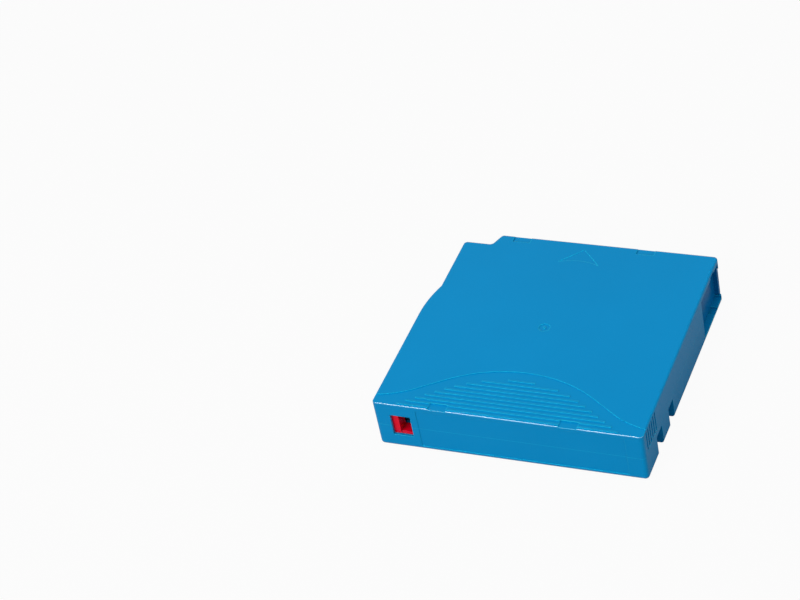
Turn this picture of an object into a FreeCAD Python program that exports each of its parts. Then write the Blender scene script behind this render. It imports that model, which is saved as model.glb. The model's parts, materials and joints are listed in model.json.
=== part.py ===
import FreeCAD, Part
import math
import os
import re
import Sketcher

# A half-inch single-reel data tape cartridge, lying flat.
# Millimetres. Origin at the middle of the underside's box. +X runs right along the label end,
# +Y towards the end that goes into the drive, +Z up.

SIZES = {
    # case
    "case_width": 105.4,
    "case_depth": 102.0,
    "case_height": 21.5,
    "lower_height": 10.5,
    "roof_thick": 2.0,
    "base_thick": 2.0,
    "wall_thick": 2.0,
    "door_wall": 2.5,
    "corner_round": 1.6,
    "roof_round": 0.8,
    "base_round": 1.4,
    # stepped corner at the drive end
    "step_inset": 3.0,
    "step_back": 6.1,
    "step_near": 14.6,
    "step_far": 17.0,
    # label end
    "label_left": 17.2,
    "label_right": 7.1,
    "label_low": 1.8,
    "label_margin": 1.9,
    "label_sink": 0.2,
    # grip panel on the roof
    "panel_sink": 0.3,
    "wave_reach": 25.4,
    "wave_crown": 51.5,
    "wave_turn": 34.5,
    "wave_straight": 11.2,
    "wave_flare": 35.0,
    "rib_count": 10,
    "rib_pitch": 2.15,
    "rib_width": 0.65,
    "rib_margin": 4.7,
    "rib_first": 20.4,
    # marks on the roof
    "edge_notch_long": 7.2,
    "edge_notch_reach": 3.4,
    "edge_notch_sink": 0.55,
    "edge_notch_left": 26.7,
    "edge_notch_right": 24.2,
    "arrow_half": 8.1,
    "arrow_base": 12.6,
    "arrow_long": 8.4,
    "arrow_bow": 1.7,
    "arrow_sink": 0.15,
    "gate_radius": 2.15,
    "gate_sink": 0.25,
    "gate_nib": 0.6,
    # grip grooves on the sides
    "groove_count": 6,
    "groove_pitch": 2.1,
    "groove_width": 1.1,
    "groove_sink": 0.35,
    "groove_first": 3.2,
    "groove_low": 12.0,
    "groove_margin": 0.9,
    # gripper notches in the lower sides
    "catch_front": 13.4,
    "catch_long": 6.6,
    "second_catch_front": 28.4,
    "second_catch_long": 5.8,
    "catch_height": 9.0,
    "catch_deep": 3.5,
    "catch_wall": 1.5,
    # write protect switch
    "window_left": 6.4,
    "window_wide": 8.1,
    "window_low": 6.0,
    "window_high": 15.7,
    "switch_setback": 1.25,
    "switch_deep": 4.5,
    "switch_head": 6.8,
    "switch_overlap": 1.0,
    "switch_travel": 5.0,
    "switch_ridge": 0.5,
    "switch_floor": 2.2,
    "switch_rim": 1.4,
    "slide_gap": 0.15,
    "rail_thick": 1.1,
    # reel
    "reel_offset": 1.2,
    "flange_side_gap": 0.8,
    "flange_thick": 1.2,
    "flange_rim": 1.0,
    "flange_shoulder": 4.0,
    "reel_height": 2.6,
    "hub_radius": 22.0,
    "hub_wall": 1.6,
    "flange_top_gap": 1.45,
    "web_thick": 1.6,
    "web_radius": 20.5,
    "pack_margin": 2.2,
    "tape_gap": 0.2,
    "tooth_count": 36,
    "drive_inner": 14.6,
    "drive_outer": 17.6,
    "drive_tooth_tall": 0.9,
    "drive_tooth_wide": 1.3,
    "lock_inner": 9.0,
    "lock_outer": 12.0,
    "lock_tooth_tall": 1.0,
    "lock_tooth_wide": 0.65,
    "plate_inner": 4.0,
    "plate_radius": 13.2,
    "plate_thick": 0.8,
    # spindle opening
    "spindle_radius": 18.6,
    "spindle_collar": 1.6,
    "collar_height": 0.5,
    # brake
    "mesh_gap": 0.2,
    "leg_radius": 1.3,
    "leg_circle": 16.1,
    "leg_gap": 0.3,
    "pad_inner": 13.4,
    "pad_outer": 17.9,
    "pad_thick": 1.4,
    "brake_radius": 17.6,
    "brake_thick": 1.5,
    "brake_boss": 7.0,
    "brake_tall": 6.6,
    "brake_travel": 1.6,
    "cross_long": 9.6,
    "cross_thick": 1.6,
    "cross_gap": 0.25,
    "lift_gap": 0.05,
    "brake_coil": 9.2,
    "brake_wire": 0.7,
    "brake_turns": 4.0,
    # door
    "opening_front": 76.9,
    "corner_block": 1.5,
    "corner_low": 3.0,
    "corner_high": 16.7,
    "door_thick": 1.5,
    "door_gap": 0.2,
    "door_overlap": 3.0,
    "door_tab_inset": 0.8,
    "guide_thick": 1.1,
    "guide_tall": 1.6,
    "guide_front": 62.0,
    "door_coil": 0.9,
    "door_wire": 0.4,
    "door_turns": 13.0,
    # leader pin
    "pin_side": 8.3,
    "pin_back": 9.6,
    "pin_radius": 1.0,
    "pin_end_radius": 2.1,
    "pin_end_thick": 1.6,
    "pin_seat": 0.9,
    "pin_gap": 0.1,
    "clip_thick": 0.7,
    "leader_thick": 0.2,
    "leader_gap": 0.3,
    "spring_thick": 0.3,
    "spring_arm": 1.9,
    "spring_web": 2.0,
    "spring_reach": 3.6,
    # screws
    "screw_radius": 1.2,
    "screw_long": 11.0,
    "screw_head": 2.5,
    "screw_head_thick": 1.5,
    "screw_gap": 0.3,
    "screw_sink": 2.2,
    "post_radius": 3.1,
    "post_front_left": 11.0,
    "post_front_left_side": 8.2,
    "post_front_right": 6.0,
    "post_front_right_side": 6.3,
    "post_back_left": 12.5,
    "post_back_left_side": 9.2,
    "post_back_right": 6.4,
    "post_back_right_side": 15.4,
    # locating holes
    "locate_radius": 2.0,
    "locate_deep": 3.2,
    "locate_slot": 3.0,
    "locate_side": 28.5,
    "locate_back": 6.2,
    "locate_wall": 1.1,
    # memory
    "board_long": 11.0,
    "board_wide": 9.0,
    "board_thick": 0.8,
    "board_side": 12.0,
    "gusset_thick": 1.2,
    "loop_line": 0.6,
    "loop_thick": 0.1,
    "loop_margin": 0.7,
    "chip_size": 3.0,
    "chip_thick": 0.7,
}

doc = FreeCAD.newDocument("DataTapeCartridge")
sheet = doc.addObject("Spreadsheet::Sheet", "Sizes")
for row, (size_name, size_value) in enumerate(SIZES.items(), start=1):
    sheet.set(f"A{row}", size_name)
    sheet.set(f"B{row}", str(size_value))
    sheet.setAlias(f"B{row}", size_name)
doc.recompute()


def cells(expression):
    """The expression with each size's name pointing at its cell."""
    return re.sub(
        r"[a-z][a-z_]*",
        lambda word: f"Sizes.{word[0]}" if word[0] in SIZES else word[0],
        expression,
    )


def value(expression):
    """What an expression of sizes comes to now."""
    return float(sheet.evalExpression(cells(expression)))


# ---------------------------------------------------------------- sketches

def add_body(name):
    body = doc.addObject("PartDesign::Body", name + "_body")
    body.Label = name
    return body


def add_sketch(body, plane, offset):
    """A sketch parallel to one of the body's origin planes, offset along that plane's normal.
    XY looks up, XZ looks towards -Y and YZ looks towards +X."""
    sketch = body.newObject("Sketcher::SketchObject", "Sketch")
    support = [item for item in body.Origin.OriginFeatures if item.Role == plane + "_Plane"][0]
    sketch.AttachmentSupport = [(support, "")]
    sketch.MapMode = "FlatFace"
    sketch.setExpression("AttachmentOffset.Base.z", cells(offset))
    return sketch


def fix(sketch, kind, edge, point, expression):
    """One horizontal or vertical dimension from the origin, tied to the sheet."""
    index = sketch.addConstraint(
        Sketcher.Constraint(kind, -1, 1, edge, point, value(expression))
    )
    sketch.setExpression(f"Constraints[{index}]", cells(expression))


def outline(sketch, points, arcs=None):
    """A closed outline through points. arcs maps the number of a point to the arc that leaves it:
    its centre, "left" or "right" for its turn, and the one dimension that fixes its far end."""
    arcs = arcs or {}
    first = sketch.GeometryCount
    count = len(points)
    places = [FreeCAD.Vector(value(x), value(y), 0) for x, y in points]
    ends = []
    for number in range(count):
        start = places[number]
        end = places[(number + 1) % count]
        if number in arcs:
            centre = FreeCAD.Vector(value(arcs[number][0]), value(arcs[number][1]), 0)
            radius = (start - centre).Length
            circle = Part.Circle(centre, FreeCAD.Vector(0, 0, 1), radius)
            angles = [circle.parameter(start), circle.parameter(end)]
            if arcs[number][2] == "left":
                sketch.addGeometry(Part.ArcOfCircle(circle, angles[0], angles[1]), False)
                ends.append((1, 2))
            else:
                sketch.addGeometry(Part.ArcOfCircle(circle, angles[1], angles[0]), False)
                ends.append((2, 1))
        else:
            sketch.addGeometry(Part.LineSegment(start, end), False)
            ends.append((1, 2))
    for number in range(count):
        after = (number + 1) % count
        sketch.addConstraint(
            Sketcher.Constraint(
                "Coincident", first + number, ends[number][1], first + after, ends[after][0]
            )
        )
    for number in range(count):
        before = (number - 1) % count
        kinds = ["DistanceX", "DistanceY"]
        if before in arcs:
            kinds = [arcs[before][3]]
        for kind in kinds:
            expression = points[number][0 if kind == "DistanceX" else 1]
            fix(sketch, kind, first + number, ends[number][0], expression)
        if number in arcs:
            fix(sketch, "DistanceX", first + number, 3, arcs[number][0])
            fix(sketch, "DistanceY", first + number, 3, arcs[number][1])


def rectangle(sketch, left, bottom, right, top):
    outline(sketch, [(left, bottom), (right, bottom), (right, top), (left, top)])


def circle(sketch, x, y, radius):
    centre = FreeCAD.Vector(value(x), value(y), 0)
    edge = sketch.addGeometry(
        Part.Circle(centre, FreeCAD.Vector(0, 0, 1), value(radius)), False
    )
    fix(sketch, "DistanceX", edge, 3, x)
    fix(sketch, "DistanceY", edge, 3, y)
    index = sketch.addConstraint(Sketcher.Constraint("Radius", edge, value(radius)))
    sketch.setExpression(f"Constraints[{index}]", cells(radius))


# ---------------------------------------------------------------- features

def pad(body, sketch, length, backwards=False):
    feature = body.newObject("PartDesign::Pad", "Pad")
    feature.Profile = sketch
    feature.setExpression("Length", cells(length))
    feature.Reversed = backwards
    doc.recompute()
    return feature


def pocket(body, sketch, depth, forwards=False):
    """Cuts against the sketch's normal, or along it with forwards."""
    before = body.Shape.Volume
    feature = body.newObject("PartDesign::Pocket", "Pocket")
    feature.Profile = sketch
    feature.setExpression("Length", cells(depth))
    feature.Reversed = forwards
    doc.recompute()
    if not body.Shape.Volume < before:
        raise ValueError(f"{body.Label}: a pocket cuts nothing")
    return feature


def turn(body, points, arcs=None):
    """A solid turned about the body's Z axis from an outline of (radius, height) points."""
    sketch = add_sketch(body, "XZ", "0")
    outline(sketch, points, arcs)
    feature = body.newObject("PartDesign::Revolution", "Revolution")
    feature.Profile = sketch
    feature.ReferenceAxis = (sketch, ["V_Axis"])
    feature.Angle = 360
    doc.recompute()
    return feature


def ring_of(body, feature, count):
    """Copies a pad or pocket evenly around the body's Z axis."""
    pattern = body.newObject("PartDesign::PolarPattern", "PolarPattern")
    pattern.Originals = [feature]
    axis = [item for item in body.Origin.OriginFeatures if item.Role == "Z_Axis"][0]
    pattern.Axis = (axis, [""])
    pattern.Angle = 360
    pattern.setExpression("Occurrences", cells(count))
    body.Tip = pattern
    doc.recompute()
    return pattern


def round_edges(body, feature, radius, wanted):
    """Rounds the edges of feature that wanted picks."""
    names = [
        f"Edge{number}" for number, edge in enumerate(feature.Shape.Edges, start=1) if wanted(edge)
    ]
    rounding = body.newObject("PartDesign::Fillet", "Fillet")
    rounding.Base = (feature, names)
    rounding.setExpression("Radius", cells(radius))
    doc.recompute()
    return rounding


def upright(edge):
    box = edge.BoundBox
    return box.ZLength > 1 and box.XLength < 0.01 and box.YLength < 0.01


def at_height(height):
    return lambda edge: (
        abs(edge.BoundBox.ZMin - height) < 0.01 and abs(edge.BoundBox.ZMax - height) < 0.01
    )


# ---------------------------------------------------------------- shared places

LEFT = "(-case_width/2)"
RIGHT = "(case_width/2)"
FRONT = "(-case_depth/2)"
BACK = "(case_depth/2)"
CEILING = "(case_height - roof_thick)"
REEL_X = "(-reel_offset)"
CASE_ARC = "(case_width/2 - reel_offset)"
OUTSIDE = "2"

INNER_LEFT = f"({LEFT} + wall_thick)"
INNER_RIGHT = f"({RIGHT} - door_wall)"
INNER_FRONT = f"({FRONT} + wall_thick)"
INNER_BACK = f"({BACK} - wall_thick)"

DOOR_OUT = f"({INNER_RIGHT} - door_gap)"
DOOR_IN = f"({DOOR_OUT} - door_thick)"
DOOR_SLOT = f"({DOOR_IN} - door_gap)"
OPENING_FRONT = f"({FRONT} + opening_front)"
BLOCK_FRONT = f"({BACK} - corner_block)"
GUIDE_IN = f"({DOOR_SLOT} - guide_thick)"
GUIDE_FRONT = f"({FRONT} + guide_front)"
DOOR_FRONT = f"({OPENING_FRONT} - door_overlap)"

PIN_X = f"({RIGHT} - pin_side)"
PIN_Y = f"({BACK} - pin_back)"
PIN_LOW = "(base_thick - pin_seat + pin_gap)"
PIN_HIGH = f"({CEILING} + pin_seat - pin_gap)"
SEAT_RADIUS = "(pin_end_radius + pin_gap)"
SPRING_Y = f"({PIN_Y} + pin_end_radius + pin_gap/2)"
SPRING_LEFT = f"({PIN_X} - spring_reach)"

WINDOW_LEFT = f"({LEFT} + window_left)"
WINDOW_RIGHT = f"({WINDOW_LEFT} + window_wide)"
SWITCH_FRONT = f"({FRONT} + switch_setback)"
SWITCH_BACK = f"({SWITCH_FRONT} + switch_deep)"
SWITCH_LOW = "(window_low - switch_overlap)"
SWITCH_HIGH = "(window_high + switch_overlap)"
HEAD_RIGHT = f"({WINDOW_RIGHT} - slide_gap - switch_travel)"
HEAD_LEFT = f"({HEAD_RIGHT} - switch_head)"
SWITCH_RIGHT = f"({WINDOW_RIGHT} + switch_rim)"
TRACK_RIGHT = f"({SWITCH_RIGHT} + switch_travel + slide_gap)"

FLANGE_RADIUS = (
    "(min(case_width/2 - reel_offset; case_depth/2) - wall_thick - flange_side_gap)"
)
PACK_RADIUS = f"({FLANGE_RADIUS} - pack_margin)"
GEAR_TOP = "(reel_height + flange_thick)"
PACK_TOP = f"({CEILING} - flange_top_gap - flange_thick)"
WEB_TOP = f"({GEAR_TOP} + web_thick)"
TAPE_LOW = f"({GEAR_TOP} + tape_gap)"
TAPE_WIDTH = f"({PACK_TOP} - tape_gap - {TAPE_LOW})"
PAD_LOW = f"({WEB_TOP} + lift_gap)"
BRAKE_LOW = f"({PAD_LOW} + pad_thick + lift_gap)"
BRAKE_TOP = f"({BRAKE_LOW} + brake_thick)"
BOSS_TOP = f"({BRAKE_LOW} + brake_tall)"
CROSS_FLOOR = f"({BRAKE_TOP} + cross_gap)"
CROSS_TIP = f"({CROSS_FLOOR} + brake_travel + cross_gap)"

POSTS = [
    (f"({LEFT} + post_front_left_side)", f"({FRONT} + post_front_left)"),
    (f"({RIGHT} - post_front_right_side)", f"({FRONT} + post_front_right)"),
    (f"({LEFT} + post_back_left_side)", f"({BACK} - post_back_left)"),
    (f"({RIGHT} - post_back_right_side)", f"({BACK} - post_back_right)"),
]

LOCATE_Y = f"({BACK} - locate_back)"
LOCATE_LEFT = "(-locate_side - reel_offset)"
LOCATE_RIGHT = "(locate_side - reel_offset)"
LOCATE_TOP = "(locate_deep + locate_wall)"


# ---------------------------------------------------------------- case

def case_outline(sketch):
    """The case from above: stepped at one corner, its long side bent in along the reel's arc."""
    arc_start = f"{LEFT} + step_inset"
    arc_start_y = f"sqrt({CASE_ARC}^2 - ({CASE_ARC} - step_inset)^2)"
    outline(
        sketch,
        [
            (LEFT, FRONT),
            (RIGHT, FRONT),
            (RIGHT, BACK),
            (f"{LEFT} + step_far", BACK),
            (f"{LEFT} + step_near", f"{BACK} - step_back"),
            (arc_start, f"{BACK} - step_back"),
            (arc_start, arc_start_y),
            (LEFT, "0"),
        ],
        {6: (REEL_X, "0", "left", "DistanceY")},
    )


def cavity_outline(sketch):
    """The hollow of the case, one wall inside the case outline."""
    inner_arc = f"({CASE_ARC} - wall_thick)"
    step_x = f"({LEFT} + step_inset + wall_thick)"
    step_y = f"({INNER_BACK} - step_back)"
    arc_y = f"sqrt({inner_arc}^2 - ({inner_arc} - step_inset)^2)"
    outline(
        sketch,
        [
            (INNER_LEFT, INNER_FRONT),
            (INNER_RIGHT, INNER_FRONT),
            (INNER_RIGHT, INNER_BACK),
            (f"{LEFT} + step_far + wall_thick", INNER_BACK),
            (f"{LEFT} + step_near + wall_thick", step_y),
            (step_x, step_y),
            (step_x, arc_y),
            (INNER_LEFT, "0"),
        ],
        {6: (REEL_X, "0", "left", "DistanceY")},
    )


def label_recess(shell, low, high):
    sketch = add_sketch(shell, "XZ", "case_depth/2")
    rectangle(sketch, f"{LEFT} + label_left", low, f"{RIGHT} - label_right", high)
    pocket(shell, sketch, "label_sink")


def switch_window(shell, low, high):
    """The window in the label end, and the thinner wall behind it that the switch slides on."""
    sketch = add_sketch(shell, "XZ", "case_depth/2")
    rectangle(sketch, WINDOW_LEFT, low, WINDOW_RIGHT, high)
    pocket(shell, sketch, "wall_thick")
    track = add_sketch(shell, "XZ", f"-{SWITCH_FRONT} + slide_gap")
    if low == "lower_height":
        rectangle(track, INNER_LEFT, low, TRACK_RIGHT, f"{SWITCH_HIGH} + slide_gap")
    else:
        rectangle(track, INNER_LEFT, f"{SWITCH_LOW} - slide_gap", TRACK_RIGHT, high)
    pocket(shell, track, "wall_thick - switch_setback + slide_gap")


def switch_rails(shell, edge, wall_end, lip_end, backwards):
    """An L of ribs that carries the switch: a ledge and the lip behind it."""
    rail_back = f"({SWITCH_BACK} + slide_gap + rail_thick)"
    ledge = add_sketch(shell, "XY", edge)
    rectangle(ledge, INNER_LEFT, f"{INNER_FRONT} - 0.1", TRACK_RIGHT, rail_back)
    pad(shell, ledge, wall_end, backwards)
    lip = add_sketch(shell, "XY", edge)
    rectangle(lip, INNER_LEFT, f"{SWITCH_BACK} + slide_gap", TRACK_RIGHT, rail_back)
    pad(shell, lip, lip_end, backwards)


def door_way(shell, far_height, near_height, forwards):
    """The side opening that the door shuts, and the slot for its tab in the rear corner."""
    side = add_sketch(shell, "XY", "lower_height")
    rectangle(side, DOOR_SLOT, OPENING_FRONT, f"{RIGHT} + {OUTSIDE}", BLOCK_FRONT)
    pocket(shell, side, far_height, forwards)
    corner = add_sketch(shell, "XY", "lower_height")
    rectangle(corner, DOOR_SLOT, f"{BLOCK_FRONT} - 0.1", f"{RIGHT} + {OUTSIDE}", f"{BACK} + {OUTSIDE}")
    pocket(shell, corner, near_height, forwards)


def door_guide(shell, height, backwards):
    sketch = add_sketch(shell, "XY", height)
    rectangle(sketch, GUIDE_IN, GUIDE_FRONT, DOOR_SLOT, f"{INNER_BACK} + 0.1")
    pad(shell, sketch, "guide_tall", backwards)


def pin_channel(shell, height, forwards):
    """The seat of the pin's end and the open channel that leads it out of the side."""
    sketch = add_sketch(shell, "XY", height)
    outline(
        sketch,
        [
            (PIN_X, f"{PIN_Y} - {SEAT_RADIUS}"),
            (f"{RIGHT} + {OUTSIDE}", f"{PIN_Y} - {SEAT_RADIUS}"),
            (f"{RIGHT} + {OUTSIDE}", f"{PIN_Y} + {SEAT_RADIUS}"),
            (PIN_X, f"{PIN_Y} + {SEAT_RADIUS}"),
        ],
        {3: (PIN_X, PIN_Y, "left", "DistanceX")},
    )
    pocket(shell, sketch, "pin_seat", forwards)


def spring_rib(shell, height, length, backwards):
    sketch = add_sketch(shell, "XY", height)
    rectangle(
        sketch,
        SPRING_LEFT,
        f"{SPRING_Y} + spring_thick",
        f"{SPRING_LEFT} + spring_web",
        f"{INNER_BACK} + 0.1",
    )
    pad(shell, sketch, length, backwards)


def side_grooves(shell, plane_offset, forwards):
    """The upright grip grooves near the label end."""
    sketch = add_sketch(shell, "YZ", plane_offset)
    for number in range(int(SIZES["groove_count"])):
        near = f"({FRONT} + groove_first + {number}*groove_pitch)"
        rectangle(sketch, near, "groove_low", f"{near} + groove_width", "case_height - groove_margin")
    pocket(shell, sketch, "groove_sink", forwards)


def grip_panel(shell):
    """The sunk panel in front of the wave line, with the ribs left standing in it."""
    sketch = add_sketch(shell, "XY", "case_height")
    crown_y = f"({FRONT} + wave_reach - wave_crown)"
    turn_x = "(wave_crown*sin(wave_turn))"
    turn_y = f"({crown_y} + wave_crown*cos(wave_turn))"
    foot_x = f"({turn_x} + wave_straight*cos(wave_turn))"
    foot_y = f"({turn_y} - wave_straight*sin(wave_turn))"
    flare_x = f"({foot_x} + wave_flare*sin(wave_turn))"
    flare_y = f"({foot_y} + wave_flare*cos(wave_turn))"
    side_x = f"({RIGHT} + 0.1)"
    side_y = f"({flare_y} - sqrt(wave_flare^2 - ({flare_x} - {side_x})^2))"
    outline(
        sketch,
        [
            (f"-{side_x}", f"{FRONT} - {OUTSIDE}"),
            (side_x, f"{FRONT} - {OUTSIDE}"),
            (side_x, side_y),
            (foot_x, foot_y),
            (turn_x, turn_y),
            (f"-{turn_x}", turn_y),
            (f"-{foot_x}", foot_y),
            (f"-{side_x}", side_y),
        ],
        {
            2: (flare_x, flare_y, "right", "DistanceX"),
            4: ("0", crown_y, "left", "DistanceX"),
            6: (f"-{flare_x}", flare_y, "right", "DistanceX"),
        },
    )
    bound = "(wave_crown - rib_margin)"
    bend_x = f"({bound}*sin(wave_turn))"
    bend_y = f"({crown_y} + {bound}*cos(wave_turn))"
    for number in range(int(SIZES["rib_count"])):
        middle = f"({FRONT} + rib_first - {number}*rib_pitch)"
        on_crown = f"sqrt(max({bound}^2 - ({middle} - {crown_y})^2; rib_width^2))"
        on_straight = f"({bend_x} + ({bend_y} - {middle})/tan(wave_turn))"
        half = f"({middle} > {bend_y} ? {on_crown} : {on_straight})"
        rectangle(
            sketch,
            f"-{half}",
            f"{middle} - rib_width/2",
            half,
            f"{middle} + rib_width/2",
        )
    pocket(shell, sketch, "panel_sink")


def edge_notches(shell):
    sketch = add_sketch(shell, "XY", "case_height")
    for middle in ("-edge_notch_left", "edge_notch_right"):
        left = f"({middle} - edge_notch_long/2)"
        right = f"({middle} + edge_notch_long/2)"
        rectangle(sketch, left, f"{FRONT} - {OUTSIDE}", right, f"{FRONT} + edge_notch_reach")
        rectangle(sketch, left, f"{BACK} - edge_notch_reach", right, f"{BACK} + {OUTSIDE}")
    pocket(shell, sketch, "edge_notch_sink")


def arrow_mark(shell):
    """The sunk arrow that shows which end goes in first, its base bowed towards the point."""
    sketch = add_sketch(shell, "XY", "case_height")
    base_y = f"({BACK} - arrow_base)"
    bow_radius = "((arrow_half^2 + arrow_bow^2)/(2*arrow_bow))"
    outline(
        sketch,
        [
            ("arrow_half", base_y),
            ("0", f"{base_y} + arrow_long"),
            ("-arrow_half", base_y),
        ],
        {2: ("0", f"{base_y} + arrow_bow - {bow_radius}", "right", "DistanceX")},
    )
    pocket(shell, sketch, "arrow_sink")


def gate_dimple(shell):
    sketch = add_sketch(shell, "XY", "case_height")
    circle(sketch, REEL_X, "0", "gate_radius")
    circle(sketch, REEL_X, "0", "gate_nib")
    pocket(shell, sketch, "gate_sink")


def cross_post(shell):
    """The cross under the roof that keeps the brake from turning, in a ring for its spring."""
    for along_x in (True, False):
        sketch = add_sketch(shell, "XY", CEILING)
        wide = "cross_long/2" if along_x else "cross_thick/2"
        deep = "cross_thick/2" if along_x else "cross_long/2"
        rectangle(sketch, f"{REEL_X} - {wide}", f"-{deep}", f"{REEL_X} + {wide}", deep)
        pad(shell, sketch, f"{CEILING} - {CROSS_TIP}", True)
    ring = add_sketch(shell, "XY", CEILING)
    circle(ring, REEL_X, "0", "brake_coil + brake_wire + wall_thick")
    circle(ring, REEL_X, "0", "brake_coil + brake_wire")
    pad(shell, ring, "roof_thick/2", True)


def upper_shell():
    shell = add_body("upper_shell")
    plan = add_sketch(shell, "XY", "lower_height")
    case_outline(plan)
    block = pad(shell, plan, "case_height - lower_height")
    block = round_edges(shell, block, "corner_round", upright)
    round_edges(shell, block, "roof_round", at_height(value("case_height")))
    hollow = add_sketch(shell, "XY", "lower_height")
    cavity_outline(hollow)
    pocket(shell, hollow, f"{CEILING} - lower_height", True)
    cross_post(shell)
    posts = add_sketch(shell, "XY", "lower_height")
    for x, y in POSTS:
        circle(posts, x, y, "post_radius")
    pad(shell, posts, f"{CEILING} - lower_height")
    threads = add_sketch(shell, "XY", "lower_height")
    for x, y in POSTS:
        circle(threads, x, y, "screw_radius")
    pocket(shell, threads, "screw_sink + screw_long - lower_height + screw_gap", True)
    spring_rib(shell, "lower_height", f"{CEILING} - lower_height", False)
    door_guide(shell, CEILING, True)
    ledge_tall = f"{CEILING} - {SWITCH_HIGH} - slide_gap"
    switch_rails(shell, CEILING, ledge_tall, f"{CEILING} - {SWITCH_HIGH} + 2", True)
    door_way(shell, f"{CEILING} - lower_height", "corner_high - lower_height", True)
    pin_channel(shell, CEILING, True)
    label_recess(shell, "lower_height", "case_height - label_margin")
    switch_window(shell, "lower_height", "window_high")
    grip_panel(shell)
    edge_notches(shell)
    arrow_mark(shell)
    gate_dimple(shell)
    side_grooves(shell, "case_width/2", False)
    side_grooves(shell, "-case_width/2", True)
    return shell


def catch(shell, front, long, right_side):
    """A gripper notch in the lower side, and the moulded box around it inside the case."""
    near = f"({FRONT} + {front})"
    wall = f"({RIGHT} - catch_deep - catch_wall)"
    face = f"({RIGHT} - catch_deep)"
    sides = [(wall, f"{INNER_RIGHT} + 0.1"), (face, f"{RIGHT} + {OUTSIDE}")]
    if not right_side:
        sides = [(f"{INNER_LEFT} - 0.1", f"-{wall}"), (f"{LEFT} - {OUTSIDE}", f"-{face}")]
    housing = add_sketch(shell, "XY", "base_thick - 0.1")
    far = f"{near} + {long}"
    rectangle(housing, sides[0][0], f"{near} - catch_wall", sides[0][1], f"{far} + catch_wall")
    pad(shell, housing, "lower_height - base_thick + 0.1")
    notch = add_sketch(shell, "XY", "catch_height")
    rectangle(notch, sides[1][0], near, sides[1][1], far)
    pocket(shell, notch, f"catch_height + {OUTSIDE}")


def locating_holes(shell):
    """A round hole and a slot in the underside that set the cartridge square in the drive."""
    bosses = add_sketch(shell, "XY", "base_thick - 0.1")
    circle(bosses, LOCATE_LEFT, LOCATE_Y, "locate_radius + locate_wall")
    rim = "(locate_radius + locate_wall)"
    outline(
        bosses,
        [
            (f"{LOCATE_RIGHT} - locate_slot/2", f"{LOCATE_Y} - {rim}"),
            (f"{LOCATE_RIGHT} + locate_slot/2", f"{LOCATE_Y} - {rim}"),
            (f"{LOCATE_RIGHT} + locate_slot/2", f"{LOCATE_Y} + {rim}"),
            (f"{LOCATE_RIGHT} - locate_slot/2", f"{LOCATE_Y} + {rim}"),
        ],
        {
            1: (f"{LOCATE_RIGHT} + locate_slot/2", LOCATE_Y, "left", "DistanceX"),
            3: (f"{LOCATE_RIGHT} - locate_slot/2", LOCATE_Y, "left", "DistanceX"),
        },
    )
    pad(shell, bosses, f"{LOCATE_TOP} - base_thick + 0.1")
    holes = add_sketch(shell, "XY", "locate_deep")
    circle(holes, LOCATE_LEFT, LOCATE_Y, "locate_radius")
    outline(
        holes,
        [
            (f"{LOCATE_RIGHT} - locate_slot/2", f"{LOCATE_Y} - locate_radius"),
            (f"{LOCATE_RIGHT} + locate_slot/2", f"{LOCATE_Y} - locate_radius"),
            (f"{LOCATE_RIGHT} + locate_slot/2", f"{LOCATE_Y} + locate_radius"),
            (f"{LOCATE_RIGHT} - locate_slot/2", f"{LOCATE_Y} + locate_radius"),
        ],
        {
            1: (f"{LOCATE_RIGHT} + locate_slot/2", LOCATE_Y, "left", "DistanceX"),
            3: (f"{LOCATE_RIGHT} - locate_slot/2", LOCATE_Y, "left", "DistanceX"),
        },
    )
    pocket(shell, holes, f"locate_deep + {OUTSIDE}")


BOARD_RIGHT = f"({RIGHT} - board_side)"
BOARD_LEFT = f"({BOARD_RIGHT} - board_long)"
BOARD_RISE = "(board_wide*sin(45) + board_thick*cos(45))"


def memory_gussets(shell):
    """Two sloped ribs in the corner of the label end that the memory board lies on."""
    for left in (f"{BOARD_LEFT} + gusset_thick", f"{BOARD_RIGHT} - 2*gusset_thick"):
        sketch = add_sketch(shell, "YZ", left)
        outline(
            sketch,
            [
                (f"{INNER_FRONT} - 0.1", "base_thick - 0.1"),
                (f"{INNER_FRONT} + board_wide*sin(45) + 0.1", "base_thick - 0.1"),
                (f"{INNER_FRONT} - 0.1", "base_thick + board_wide*sin(45) + 0.1"),
            ],
        )
        pad(shell, sketch, "gusset_thick")


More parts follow.
